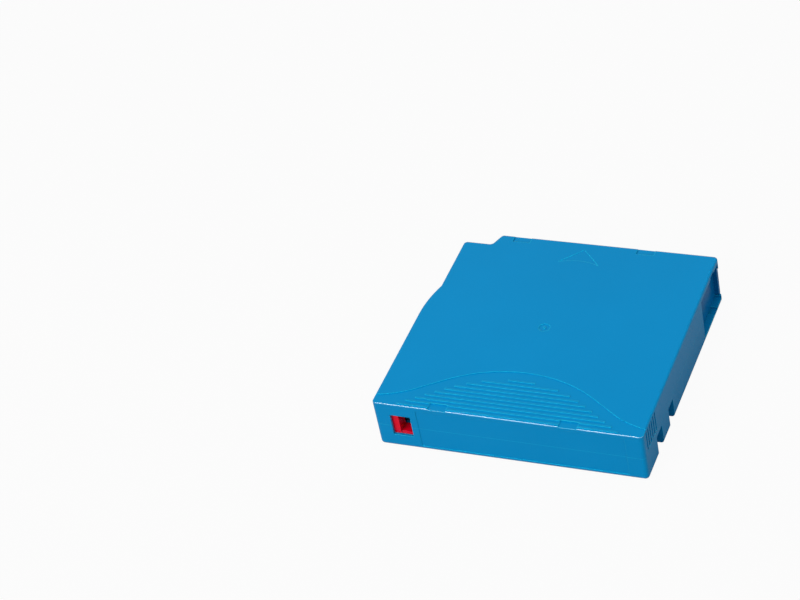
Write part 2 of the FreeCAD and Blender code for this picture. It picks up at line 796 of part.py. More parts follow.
def lower_shell():
    shell = add_body("lower_shell")
    plan = add_sketch(shell, "XY", "0")
    case_outline(plan)
    block = pad(shell, plan, "lower_height")
    block = round_edges(shell, block, "corner_round", upright)
    round_edges(shell, block, "base_round", at_height(0))
    hollow = add_sketch(shell, "XY", "lower_height")
    cavity_outline(hollow)
    pocket(shell, hollow, "lower_height - base_thick")
    collar = add_sketch(shell, "XY", "base_thick - 0.1")
    circle(collar, REEL_X, "0", "spindle_radius + spindle_collar")
    pad(shell, collar, "collar_height + 0.1")
    posts = add_sketch(shell, "XY", "base_thick - 0.1")
    for x, y in POSTS:
        circle(posts, x, y, "post_radius")
    pad(shell, posts, "lower_height - base_thick + 0.1")
    shafts = add_sketch(shell, "XY", "lower_height")
    for x, y in POSTS:
        circle(shafts, x, y, "screw_radius + screw_gap/2")
    pocket(shell, shafts, f"lower_height + {OUTSIDE}")
    heads = add_sketch(shell, "XY", "screw_sink")
    for x, y in POSTS:
        circle(heads, x, y, "screw_head + screw_gap")
    pocket(shell, heads, f"screw_sink + {OUTSIDE}")
    spring_rib(shell, "base_thick - 0.1", "lower_height - base_thick + 0.1", False)
    door_guide(shell, "base_thick", False)
    ledge_tall = f"{SWITCH_LOW} - slide_gap - base_thick"
    switch_rails(shell, "base_thick", ledge_tall, f"{SWITCH_LOW} + 2 - base_thick", False)
    memory_gussets(shell)
    catch(shell, "catch_front", "catch_long", True)
    catch(shell, "second_catch_front", "second_catch_long", True)
    catch(shell, "catch_front", "catch_long", False)
    locating_holes(shell)
    door_way(shell, "lower_height - base_thick", "lower_height - corner_low", False)
    pin_channel(shell, "base_thick", False)
    label_recess(shell, "label_low", "lower_height")
    switch_window(shell, "window_low", "lower_height")
    spindle = add_sketch(shell, "XY", f"base_thick + collar_height + {OUTSIDE}")
    circle(spindle, REEL_X, "0", "spindle_radius")
    pocket(shell, spindle, f"base_thick + collar_height + 2*{OUTSIDE}")
    return shell


def case_screw(name, x, y):
    """One screw: its head down in the sink, its shank up into the upper post."""
    screw = add_body(name)
    turn(
        screw,
        [
            ("0", "screw_sink - screw_head_thick"),
            ("screw_head", "screw_sink - screw_head_thick"),
            ("screw_head", "screw_sink"),
            ("screw_radius", "screw_sink"),
            ("screw_radius", "screw_sink + screw_long"),
            ("0", "screw_sink + screw_long"),
        ],
    )
    return place(screw, x, y, "0")


def case_screws():
    """Four screws in one node."""
    group = doc.addObject("Part::Compound", "case_screws")
    group.Links = [
        case_screw(f"screw_{number}", x, y) for number, (x, y) in enumerate(POSTS, start=1)
    ]
    doc.recompute()
    return group


def write_protect_slider():
    slider = add_body("write_protect_slider")
    block = add_sketch(slider, "XZ", f"-{SWITCH_FRONT}")
    rectangle(block, HEAD_LEFT, SWITCH_LOW, SWITCH_RIGHT, SWITCH_HIGH)
    pad(slider, block, "switch_deep", True)
    hollow = add_sketch(slider, "XZ", f"-{SWITCH_FRONT} + {OUTSIDE}")
    rectangle(
        hollow,
        HEAD_RIGHT,
        f"{SWITCH_LOW} + switch_floor",
        f"{SWITCH_RIGHT} - switch_rim",
        f"{SWITCH_HIGH} - switch_rim/2",
    )
    pocket(slider, hollow, f"switch_deep + 2*{OUTSIDE}")
    ridge = add_sketch(slider, "XZ", f"-{SWITCH_FRONT} + switch_ridge")
    rectangle(
        ridge,
        f"{HEAD_RIGHT} - switch_ridge",
        "window_low + switch_ridge",
        HEAD_RIGHT,
        "window_high - switch_ridge",
    )
    pad(slider, ridge, "switch_ridge + 0.1", True)
    return slider


# ---------------------------------------------------------------- door

def door():
    panel = add_body("door")
    plate = add_sketch(panel, "XY", "base_thick + door_gap")
    rectangle(plate, DOOR_IN, DOOR_FRONT, DOOR_OUT, f"{BLOCK_FRONT} - door_gap")
    pad(panel, plate, f"{CEILING} - base_thick - 2*door_gap")
    tail = add_sketch(panel, "XY", "corner_low + door_gap")
    outline(
        tail,
        [
            (DOOR_IN, f"{BLOCK_FRONT} - door_gap - 0.1"),
            (DOOR_OUT, f"{BLOCK_FRONT} - door_gap - 0.1"),
            (DOOR_OUT, f"{BACK} - door_thick"),
            (f"{RIGHT} - door_tab_inset", f"{BACK} - door_thick"),
            (f"{RIGHT} - door_tab_inset", BACK),
            (DOOR_IN, BACK),
        ],
    )
    pad(panel, tail, "corner_high - corner_low - 2*door_gap")
    return panel


def coil(name, radius, wire, length, turns, steps):
    """A spring wound about its own Z axis: square wire, lofted through steps sections a turn."""
    spring = doc.addObject("Part::Feature", name)
    radius, wire, length, turns = (value(size) for size in (radius, wire, length, turns))
    count = int(round(turns * steps))
    sections = []
    for number in range(count + 1):
        angle = 2 * math.pi * number / steps
        outward = FreeCAD.Vector(math.cos(angle), math.sin(angle), 0)
        low = (length - wire) * number / count
        inner = outward * (radius - wire / 2)
        outer = outward * (radius + wire / 2)
        corners = [
            inner + FreeCAD.Vector(0, 0, low),
            outer + FreeCAD.Vector(0, 0, low),
            outer + FreeCAD.Vector(0, 0, low + wire),
            inner + FreeCAD.Vector(0, 0, low + wire),
        ]
        sections.append(Part.makePolygon(corners + corners[:1]))
    spring.Shape = Part.makeLoft(sections, True, True)
    return spring


def place(body, x, y, z, turned_to_y=False):
    if turned_to_y:
        body.Placement.Rotation = FreeCAD.Rotation(FreeCAD.Vector(1, 0, 0), -90)
    body.setExpression("Placement.Base.x", cells(x))
    body.setExpression("Placement.Base.y", cells(y))
    body.setExpression("Placement.Base.z", cells(z))
    doc.recompute()
    return body


SPRING_SEAT = f"({FRONT} + second_catch_front + second_catch_long + catch_wall)"


def door_spring():
    spring = coil(
        "door_spring", "door_coil", "door_wire", f"({DOOR_FRONT} - {SPRING_SEAT})", "door_turns", 8
    )
    return place(
        spring,
        f"({INNER_RIGHT} - door_coil - door_wire/2 - door_gap/2)",
        SPRING_SEAT,
        "(base_thick + lower_height)/2",
        turned_to_y=True,
    )


def leader_pin():
    pin = add_body("leader_pin")
    long = f"({PIN_HIGH} - {PIN_LOW})"
    turn(
        pin,
        [
            ("0", "0"),
            ("pin_end_radius", "0"),
            ("pin_end_radius", "pin_end_thick"),
            ("pin_radius", "pin_end_thick + pin_end_radius - pin_radius"),
            ("pin_radius", f"{long} - pin_end_thick - pin_end_radius + pin_radius"),
            ("pin_end_radius", f"{long} - pin_end_thick"),
            ("pin_end_radius", long),
            ("0", long),
        ],
    )
    return place(pin, PIN_X, PIN_Y, PIN_LOW)


LEADER_X = f"({REEL_X} + {PACK_RADIUS} + leader_gap)"
LOOP_IN = "(pin_radius + 0.02)"
LOOP_OUT = f"({LOOP_IN} + leader_thick)"


def tape_leader():
    """The free end of the tape, straight from the pack to the pin and most of the way round it."""
    leader = add_body("tape_leader")
    sketch = add_sketch(leader, "XY", TAPE_LOW)
    outline(
        sketch,
        [
            (LEADER_X, "0"),
            (f"{LEADER_X} + leader_thick", "0"),
            (f"{PIN_X} + {LOOP_OUT}", PIN_Y),
            (PIN_X, f"{PIN_Y} - {LOOP_OUT}"),
            (PIN_X, f"{PIN_Y} - {LOOP_IN}"),
            (f"{PIN_X} + {LOOP_IN}", PIN_Y),
        ],
        {2: (PIN_X, PIN_Y, "left", "DistanceX"), 4: (PIN_X, PIN_Y, "right", "DistanceY")},
    )
    pad(leader, sketch, TAPE_WIDTH)
    return leader


def leader_clip():
    """A C-shaped sleeve, open towards the reel, that grips the tape round the pin."""
    clip = add_body("leader_clip")
    ring = add_sketch(clip, "XY", TAPE_LOW)
    circle(ring, PIN_X, PIN_Y, f"{LOOP_OUT} + 0.02 + clip_thick")
    circle(ring, PIN_X, PIN_Y, f"{LOOP_OUT} + 0.02")
    pad(clip, ring, TAPE_WIDTH)
    mouth = add_sketch(clip, "XY", f"{TAPE_LOW} - 1")
    reach = "4*pin_radius"
    rectangle(mouth, PIN_X, f"{PIN_Y} - {reach}", f"{PIN_X} + {reach}", f"{PIN_Y} + pin_radius/3")
    pocket(clip, mouth, f"{TAPE_WIDTH} + 2", True)
    return clip


def pin_spring():
    """A C of spring steel: the web on its rib, an arm along each end of the pin."""
    spring = add_body("pin_spring")
    low = "(base_thick + pin_gap)"
    high = f"({CEILING} - pin_gap)"
    web = f"({SPRING_LEFT} + spring_web)"
    tip = f"({PIN_X} + pin_end_radius)"
    side = add_sketch(spring, "XZ", f"-{SPRING_Y}")
    outline(
        side,
        [
            (SPRING_LEFT, low),
            (tip, low),
            (tip, f"{low} + spring_arm"),
            (web, f"{low} + spring_arm"),
            (web, f"{high} - spring_arm"),
            (tip, f"{high} - spring_arm"),
            (tip, high),
            (SPRING_LEFT, high),
        ],
    )
    pad(spring, side, "spring_thick", True)
    return spring


# ---------------------------------------------------------------- reel

def tooth(body, plane_height, inner, outer, wide, tall, backwards, turned="0"):
    """One radial tooth of a face gear, turned about the body's Z axis by an angle."""
    sketch = add_sketch(body, "XY", plane_height)
    sketch.setExpression("AttachmentOffset.Rotation.Angle", cells(turned))
    rectangle(sketch, inner, f"-{wide}/2", outer, f"{wide}/2")
    return pad(body, sketch, tall, backwards)


def reel_hub():
    """Hub, web and lower flange in one moulding, with the drive gear below and the lock gear above."""
    hub = add_body("reel_hub")
    turn(
        hub,
        [
            ("0", GEAR_TOP),
            ("web_radius - hub_wall", GEAR_TOP),
            ("web_radius - hub_wall", "reel_height"),
            ("hub_radius + flange_shoulder", "reel_height"),
            ("hub_radius + flange_shoulder", f"{GEAR_TOP} - flange_rim"),
            (FLANGE_RADIUS, f"{GEAR_TOP} - flange_rim"),
            (FLANGE_RADIUS, GEAR_TOP),
            ("hub_radius", GEAR_TOP),
            ("hub_radius", PACK_TOP),
            ("hub_radius - hub_wall", PACK_TOP),
            ("hub_radius - hub_wall", WEB_TOP),
            ("0", WEB_TOP),
        ],
    )
    drive = tooth(
        hub, f"{GEAR_TOP} + 0.1", "drive_inner", "drive_outer", "drive_tooth_wide",
        "drive_tooth_tall + 0.1", True,
    )
    ring_of(hub, drive, "tooth_count")
    lock = tooth(
        hub, f"{WEB_TOP} - 0.1", "lock_inner", "lock_outer", "lock_tooth_wide",
        "lock_tooth_tall + 0.1", False,
    )
    ring_of(hub, lock, "tooth_count")
    holes = add_sketch(hub, "XY", f"{WEB_TOP} + {OUTSIDE}")
    circle(holes, "leg_circle", "0", "leg_radius + leg_gap")
    hole = pocket(hub, holes, f"web_thick + drive_tooth_tall + 2*{OUTSIDE}")
    ring_of(hub, hole, "3")
    return place(hub, REEL_X, "0", "0")


def upper_flange():
    flange = add_body("upper_flange")
    turn(
        flange,
        [
            ("hub_radius - hub_wall", PACK_TOP),
            (FLANGE_RADIUS, PACK_TOP),
            (FLANGE_RADIUS, f"{PACK_TOP} + flange_rim"),
            ("hub_radius + flange_shoulder", f"{PACK_TOP} + flange_rim"),
            ("hub_radius + flange_shoulder", f"{PACK_TOP} + flange_thick"),
            ("hub_radius - hub_wall", f"{PACK_TOP} + flange_thick"),
        ],
    )
    return place(flange, REEL_X, "0", "0")


def reel_plate():
    plate = add_body("reel_plate")
    turn(
        plate,
        [
            ("plate_inner", f"{GEAR_TOP} - plate_thick"),
            ("plate_radius", f"{GEAR_TOP} - plate_thick"),
            ("plate_radius", GEAR_TOP),
            ("plate_inner", GEAR_TOP),
        ],
    )
    return place(plate, REEL_X, "0", "0")


def tape_pack():
    pack = add_body("tape_pack")
    turn(
        pack,
        [
            ("hub_radius", TAPE_LOW),
            (PACK_RADIUS, TAPE_LOW),
            (PACK_RADIUS, f"{TAPE_LOW} + {TAPE_WIDTH}"),
            ("hub_radius", f"{TAPE_LOW} + {TAPE_WIDTH}"),
        ],
    )
    return place(pack, REEL_X, "0", "0")


def release_pad():
    """A ring between the web and the brake, with three legs down through the web."""
    ring = add_body("release_pad")
    turn(
        ring,
        [
            ("pad_inner", PAD_LOW),
            ("pad_outer", PAD_LOW),
            ("pad_outer", f"{PAD_LOW} + pad_thick"),
            ("pad_inner", f"{PAD_LOW} + pad_thick"),
        ],
    )
    sketch = add_sketch(ring, "XY", f"{PAD_LOW} + 0.1")
    circle(sketch, "leg_circle", "0", "leg_radius")
    leg = pad(ring, sketch, "lift_gap + web_thick + drive_tooth_tall + 0.1", True)
    ring_of(ring, leg, "3")
    return place(ring, REEL_X, "0", "0")


def brake_button():
    """The brake: a disc toothed below, with a slotted boss above that rides on the roof's cross."""
    brake = add_body("brake_button")
    turn(
        brake,
        [
            ("0", BRAKE_LOW),
            ("brake_radius", BRAKE_LOW),
            ("brake_radius", BRAKE_TOP),
            ("brake_boss", BRAKE_TOP),
            ("brake_boss", BOSS_TOP),
            ("0", BOSS_TOP),
        ],
    )
    key = tooth(
        brake, f"{BRAKE_LOW} + 0.1", "lock_inner", "lock_outer", "lock_tooth_wide",
        f"{BRAKE_LOW} - {WEB_TOP} - mesh_gap + 0.1", True, "180/tooth_count",
    )
    ring_of(brake, key, "tooth_count")
    for along_x in (True, False):
        slot = add_sketch(brake, "XY", f"{BOSS_TOP} + 1")
        wide = "cross_long/2 + cross_gap" if along_x else "cross_thick/2 + cross_gap"
        deep = "cross_thick/2 + cross_gap" if along_x else "cross_long/2 + cross_gap"
        rectangle(slot, f"-({wide})", f"-({deep})", wide, deep)
        pocket(brake, slot, f"{BOSS_TOP} + 1 - {CROSS_FLOOR}")
    return place(brake, REEL_X, "0", "0")


def brake_spring():
    spring = coil(
        "brake_spring", "brake_coil", "brake_wire", f"({CEILING} - {BRAKE_TOP})", "brake_turns", 24
    )
    return place(spring, REEL_X, "0", BRAKE_TOP)


# ---------------------------------------------------------------- memory

def on_slope(body):
    """Lays a body made in the board's own plane on the gussets, high end at the label wall."""
    body.Placement.Rotation = FreeCAD.Rotation(FreeCAD.Vector(1, 0, 0), -45)
    body.setExpression("Placement.Base.x", cells(BOARD_LEFT))
    body.setExpression("Placement.Base.y", cells(INNER_FRONT))
    body.setExpression("Placement.Base.z", cells("base_thick + board_wide*sin(45)"))
    doc.recompute()
    return body


def memory_board():
    board = add_body("memory_board")
    sketch = add_sketch(board, "XY", "0")
    rectangle(sketch, "0", "0", "board_long", "board_wide")
    pad(board, sketch, "board_thick")
    return on_slope(board)


def memory_antenna():
    """The printed loop round the edge of the board."""
    loop = add_body("memory_antenna")
    sketch = add_sketch(loop, "XY", "board_thick")
    for inset in ("loop_margin", "(loop_margin + loop_line)"):
        rectangle(sketch, inset, inset, f"board_long - {inset}", f"board_wide - {inset}")
    pad(loop, sketch, "loop_thick")
    return on_slope(loop)


def memory_chip():
    chip = add_body("memory_chip")
    sketch = add_sketch(chip, "XY", "board_thick")
    left = "(board_long - chip_size)/2"
    low = "(board_wide - chip_size)/2"
    rectangle(sketch, left, low, f"{left} + chip_size", f"{low} + chip_size")
    pad(chip, sketch, "chip_thick")
    return on_slope(chip)


# ---------------------------------------------------------------- write the parts

parts = [
    upper_shell(),
    lower_shell(),
    case_screws(),
    write_protect_slider(),
    door(),
    door_spring(),
    leader_pin(),
    tape_leader(),
    leader_clip(),
    pin_spring(),
    reel_hub(),
    upper_flange(),
    reel_plate(),
    tape_pack(),
    release_pad(),
    brake_button(),
    brake_spring(),
    memory_board(),
    memory_antenna(),
    memory_chip(),
]

for item in doc.Objects:
    if "Invalid" in item.State or "Error" in item.State:
        raise ValueError(f"{item.Name} failed: {item.State}")
os.makedirs("parts", exist_ok=True)
for part in parts:
    if part.Shape.isNull() or not part.Shape.isValid():
        raise ValueError(f"{part.Label} has no valid shape")
for part in parts:
    part.Shape.exportStep(f"parts/{part.Label}.step")
    box = part.Shape.optimalBoundingBox()
    print(
        f"{part.Label:22s} {len(part.Shape.Solids)} {part.Shape.Volume:10.1f} "
        f"x {box.XMin:7.2f} {box.XMax:7.2f} y {box.YMin:7.2f} {box.YMax:7.2f} "
        f"z {box.ZMin:6.2f} {box.ZMax:6.2f}"
    )
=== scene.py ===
import json
import math

import bpy
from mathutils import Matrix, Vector


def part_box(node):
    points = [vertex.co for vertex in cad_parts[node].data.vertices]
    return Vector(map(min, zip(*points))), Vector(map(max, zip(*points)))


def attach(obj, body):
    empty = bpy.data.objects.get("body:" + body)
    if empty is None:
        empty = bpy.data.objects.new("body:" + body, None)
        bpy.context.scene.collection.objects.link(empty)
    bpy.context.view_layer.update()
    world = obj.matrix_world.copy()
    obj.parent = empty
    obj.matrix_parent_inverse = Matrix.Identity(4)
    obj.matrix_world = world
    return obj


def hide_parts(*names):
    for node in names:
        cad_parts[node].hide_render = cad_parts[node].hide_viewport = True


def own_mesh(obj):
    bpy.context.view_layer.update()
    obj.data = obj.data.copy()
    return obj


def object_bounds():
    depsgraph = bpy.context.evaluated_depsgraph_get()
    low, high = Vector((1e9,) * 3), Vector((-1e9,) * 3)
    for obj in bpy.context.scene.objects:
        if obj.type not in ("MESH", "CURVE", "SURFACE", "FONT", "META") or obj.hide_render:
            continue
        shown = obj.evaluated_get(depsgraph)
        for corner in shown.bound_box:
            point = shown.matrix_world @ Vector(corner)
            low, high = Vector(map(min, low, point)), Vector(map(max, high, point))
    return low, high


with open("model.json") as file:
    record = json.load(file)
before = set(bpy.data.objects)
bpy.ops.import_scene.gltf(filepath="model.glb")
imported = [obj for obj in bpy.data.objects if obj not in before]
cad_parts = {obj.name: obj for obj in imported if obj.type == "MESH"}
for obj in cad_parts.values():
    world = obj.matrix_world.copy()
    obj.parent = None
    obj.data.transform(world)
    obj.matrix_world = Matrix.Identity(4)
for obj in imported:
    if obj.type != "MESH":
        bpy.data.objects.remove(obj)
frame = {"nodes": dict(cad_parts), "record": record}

# Looks of the data tape cartridge: materials, round springs, stage, light and camera.
# Metres, in the frame of the solids.

cad_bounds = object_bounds()
low = Vector(cad_bounds[0])
high = Vector(cad_bounds[1])
middle = (low + high) / 2
MM = 0.001


# ---------------------------------------------------------------- shader nodes

NOISE_RANGE = (0.3, 0.7)


def new_material(name):
    """A node material with its Principled shader, its node tree and a link function."""
    material = bpy.data.materials.new(name)
    material.use_nodes = True
    nodes = material.node_tree.nodes
    shader = nodes["Principled BSDF"]
    return material, nodes, material.node_tree.links.new, shader


def node(nodes, kind, **inputs):
    """A node of one kind. Each name in inputs is an input's, with _ for a space."""
    item = nodes.new(kind)
    for key, setting in inputs.items():
        item.inputs[key.replace("_", " ")].default_value = setting
    return item


def object_coordinates(nodes):
    return nodes.new("ShaderNodeTexCoord").outputs["Object"]


def object_normal(nodes, link):
    """The surface's normal along the object's own X, Y and Z."""
    axes = nodes.new("ShaderNodeSeparateXYZ")
    link(nodes.new("ShaderNodeTexCoord").outputs["Normal"], axes.inputs["Vector"])
    return axes.outputs


def noise(nodes, link, coordinates, scale, detail=3.0):
    item = node(nodes, "ShaderNodeTexNoise", Scale=scale, Detail=detail)
    link(coordinates, item.inputs["Vector"])
    return item.outputs["Fac"]


def worked(nodes, link, operation, *terms):
    """The result of a Math node on other nodes' outputs."""
    item = nodes.new("ShaderNodeMath")
    item.operation = operation
    for place, term in enumerate(terms):
        link(term, item.inputs[place])
    return item.outputs[0]


def ranged(nodes, link, value, start=0.0, end=1.0, least=0.0, most=1.0):
    """Carries a value from the range start to end over to the range least to most."""
    item = node(nodes, "ShaderNodeMapRange", From_Min=start, From_Max=end, To_Min=least, To_Max=most)
    link(value, item.inputs["Value"])
    return item.outputs["Result"]


def spread(nodes, link, value, least, most):
    """Stretches a noise, which keeps near its middle, over the range least to most."""
    return ranged(nodes, link, value, *NOISE_RANGE, least, most)


def tinted(nodes, link, factor, first, second):
    """A blend from first, a colour or another node's output, to second, a colour."""
    item = nodes.new("ShaderNodeMix")
    item.data_type = "RGBA"
    if isinstance(first, tuple):
        item.inputs["A"].default_value = (*first, 1.0)
    else:
        link(first, item.inputs["A"])
    item.inputs["B"].default_value = (*second, 1.0)
    link(factor, item.inputs["Factor"])
    return item.outputs["Result"]


def bumped(nodes, link, shader, height, strength, distance, normal=None):
    """Roughens the shader's surface by a height, on top of another normal where one is given."""
    bump = node(nodes, "ShaderNodeBump", Strength=strength, Distance=distance)
    link(height, bump.inputs["Height"])
    if normal is not None:
        link(normal, bump.inputs["Normal"])
    link(bump.outputs["Normal"], shader.inputs["Normal"])


# ---------------------------------------------------------------- materials

# How far in from an outward edge the painted highlight reaches, and how much of it upright faces get.
HIGHLIGHT_REACH = 0.13 * MM
HIGHLIGHT_FROM = 0.92
HIGHLIGHT_TO = 0.55
UPRIGHT_HIGHLIGHT_SHARE = 0.3
POLISHED_FROM = 0.05
POLISHED_TO = 0.40
POLISH_IOR = 2.5
GRAIN_HEIGHT = 0.010 * MM


def painted_edge_highlight(nodes, link):
    """Up to 1 along outward edges, where little solid lies behind the surface, and 0 on flats: the
    share of a painted highlight.
    Level faces get more of it than upright ones, as if lit from above."""
    behind = node(nodes, "ShaderNodeAmbientOcclusion", Distance=HIGHLIGHT_REACH)
    behind.inside = True
    behind.only_local = True
    behind.samples = 8
    edge = ranged(nodes, link, behind.outputs["AO"], HIGHLIGHT_FROM, HIGHLIGHT_TO)
    # Faces that look up get more of the painted highlight, as if lit from above.
    level = worked(nodes, link, "ABSOLUTE", object_normal(nodes, link)["Z"])
    return worked(nodes, link, "MULTIPLY", edge, ranged(nodes, link, level, least=UPRIGHT_HIGHLIGHT_SHARE))


def polished_share(nodes, link):
    """Up to 1 on the rounded edges over the two ends, which hands and grippers rub, and 0 on flats."""
    normal = object_normal(nodes, link)
    slope = worked(nodes, link, "MULTIPLY", normal["Y"], normal["Z"])
    return ranged(nodes, link, worked(nodes, link, "ABSOLUTE", slope), POLISHED_FROM, POLISHED_TO)


def moulded_plastic(
    name, colour, roughness=0.36, edge=0.22 * MM, sheen=(1.0, 1.0, 1.0), shine=0.5, polished=False
):
    """Moulded plastic: faint flow mottling, spark-eroded grain, worn sheen, and edges that are
    softened by the radius edge, lightened by a painted highlight, and polished at the two ends where
    that is asked."""
    material, nodes, link, shader = new_material(name)
    coordinates = object_coordinates(nodes)
    flow = spread(nodes, link, noise(nodes, link, coordinates, 28.0), 0.0, 1.0)
    dark = tuple(channel * 0.96 for channel in colour)
    # A pale copy of the colour, for the painted highlight along outward edges.
    painted_highlight_colour = tuple(min(1.0, channel * 3.6 + 0.03) for channel in colour)
    body = tinted(nodes, link, flow, colour, dark)
    # The base colour is mixed towards the pale copy along outward edges: a painted highlight.
    link(tinted(nodes, link, painted_edge_highlight(nodes, link), body, painted_highlight_colour), shader.inputs["Base Color"])
    wear = noise(nodes, link, coordinates, 160.0, 6.0)
    link(
        spread(nodes, link, wear, roughness - 0.03, roughness + 0.04),
        shader.inputs["Roughness"],
    )
    shader.inputs["Specular Tint"].default_value = (*sheen, 1.0)
    shader.inputs["Specular IOR Level"].default_value = shine
    bevel = node(nodes, "ShaderNodeBevel", Radius=edge)
    bevel.samples = 8
    grain = noise(nodes, link, coordinates, 2600.0, 2.0)
    bumped(nodes, link, shader, grain, 0.35, GRAIN_HEIGHT, bevel.outputs["Normal"])
    if polished:
        link(polished_share(nodes, link), shader.inputs["Coat Weight"])
        shader.inputs["Coat IOR"].default_value = POLISH_IOR
        shader.inputs["Coat Roughness"].default_value = 0.12
        link(bevel.outputs["Normal"], shader.inputs["Coat Normal"])
    return material


def drawn_metal(name, colour, roughness=0.28, stretch=(1.0, 1.0, 0.04)):
    """Bright metal with fine marks drawn out along one direction."""
    material, nodes, link, shader = new_material(name)
    coordinates = object_coordinates(nodes)
    mapping = node(nodes, "ShaderNodeMapping", Scale=stretch)
    link(coordinates, mapping.inputs["Vector"])
    marks = noise(nodes, link, mapping.outputs["Vector"], 3000.0, 4.0)
    stain = spread(nodes, link, noise(nodes, link, coordinates, 90.0), 0.0, 1.0)
    dull = tuple(channel * 0.78 for channel in colour)
    link(tinted(nodes, link, stain, colour, dull), shader.inputs["Base Color"])
    link(spread(nodes, link, marks, roughness - 0.08, roughness + 0.10), shader.inputs["Roughness"])
    bumped(nodes, link, shader, marks, 0.2, GRAIN_HEIGHT)
    shader.inputs["Metallic"].default_value = 1.0
    return material


def wound_tape(name, axis_x):
    """The edges of the tape's turns: fine rings about the reel's axis, some standing proud."""
    material, nodes, link, shader = new_material(name)
    shift = node(nodes, "ShaderNodeMapping", Location=(-axis_x, 0.0, 0.0), Scale=(1.0, 1.0, 0.0))
    link(object_coordinates(nodes), shift.inputs["Vector"])
    rings = node(nodes, "ShaderNodeTexWave", Scale=420.0, Distortion=1.5, Detail=2.0)
    rings.wave_type = "RINGS"
    rings.rings_direction = "Z"
    link(shift.outputs["Vector"], rings.inputs["Vector"])
    turns = rings.outputs["Fac"]
    link(
        tinted(nodes, link, turns, (0.020, 0.015, 0.012), (0.055, 0.040, 0.032)),
        shader.inputs["Base Color"],
    )
    link(spread(nodes, link, turns, 0.18, 0.34), shader.inputs["Roughness"])
    bumped(nodes, link, shader, turns, 0.3, 2 * GRAIN_HEIGHT)
    return material


def printed_board(name):
    """Solder mask over faint copper tracks."""
    material, nodes, link, shader = new_material(name)
    coordinates = object_coordinates(nodes)
    tracks = node(nodes, "ShaderNodeTexVoronoi", Scale=700.0)
    tracks.feature = "DISTANCE_TO_EDGE"
    link(coordinates, tracks.inputs["Vector"])
    between = ranged(nodes, link, tracks.outputs["Distance"], end=0.08)
    link(
        tinted(nodes, link, between, (0.035, 0.16, 0.06), (0.012, 0.075, 0.028)),
        shader.inputs["Base Color"],
    )
    link(
        spread(nodes, link, noise(nodes, link, coordinates, 900.0), 0.22, 0.36),
        shader.inputs["Roughness"],
    )
    return material


SHELL_BLUE = (0.0, 0.235, 0.530)
# A darker copy of the shell's blue for the door: painted shade.
DOOR_BLUE_SHADED = (0.0, 0.135, 0.370)
BLUE_SHEEN = (0.0, 0.85, 1.0)
SWITCH_RED = (0.72, 0.0, 0.018)
RED_SHEEN = (1.0, 0.35, 0.45)
SHELL_EDGE = 0.16 * MM
SWITCH_EDGE = 0.15 * MM
FILM_EDGE = 0.05 * MM
REEL_X = (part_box("tape_pack")[0][0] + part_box("tape_pack")[1][0]) / 2

MATERIALS = {
    "blue_shell": moulded_plastic(
        "blue_shell_finish", SHELL_BLUE, roughness=0.22, edge=SHELL_EDGE, sheen=BLUE_SHEEN,
        shine=0.4, polished=True,
    ),
    # The door takes the darker copy of the shell's blue: painted shade.
    "door_plastic": moulded_plastic(
        "door_shaded_finish", DOOR_BLUE_SHADED, roughness=0.22, edge=SHELL_EDGE, sheen=BLUE_SHEEN, shine=0.4
    ),
    "red_plastic": moulded_plastic(
        "red_finish", SWITCH_RED, roughness=0.26, edge=SWITCH_EDGE, sheen=RED_SHEEN
    ),
    "reel_plastic": moulded_plastic("reel_finish", (0.30, 0.31, 0.32), roughness=0.42),
    "flange_plastic": moulded_plastic("flange_finish", (0.42, 0.43, 0.44), roughness=0.24),
    "pad_plastic": moulded_plastic("pad_finish", (0.70, 0.69, 0.64), roughness=0.40),
    "brake_plastic": moulded_plastic("brake_finish", (0.76, 0.76, 0.74), roughness=0.38),
    "clip_plastic": moulded_plastic("clip_finish", (0.03, 0.03, 0.03), roughness=0.40),
    "chip_black": moulded_plastic("chip_finish", (0.015, 0.015, 0.016), roughness=0.50),
    "leader_film": moulded_plastic(
        "leader_finish", (0.07, 0.055, 0.045), roughness=0.16, edge=FILM_EDGE
    ),
    "screw_steel": drawn_metal("screw_finish", (0.42, 0.42, 0.43)),
    "spring_steel": drawn_metal("spring_finish", (0.55, 0.55, 0.56), roughness=0.22),
    "pin_steel": drawn_metal(
        "pin_finish", (0.62, 0.62, 0.63), roughness=0.20, stretch=(0.04, 0.04, 1.0)
    ),
    "copper": drawn_metal("copper_finish", (0.80, 0.42, 0.20)),
    "board_green": printed_board("board_finish"),
    "tape": wound_tape("tape_finish", REEL_X),
}

for part in frame["record"]["subparts"]:
    shown = frame["nodes"][part["node"]]
    shown.data.materials.clear()
    shown.data.materials.append(MATERIALS[part["material_slot"]])


# ---------------------------------------------------------------- springs

STEPS_PER_TURN = 20
CLOSED_PITCH = 1.05


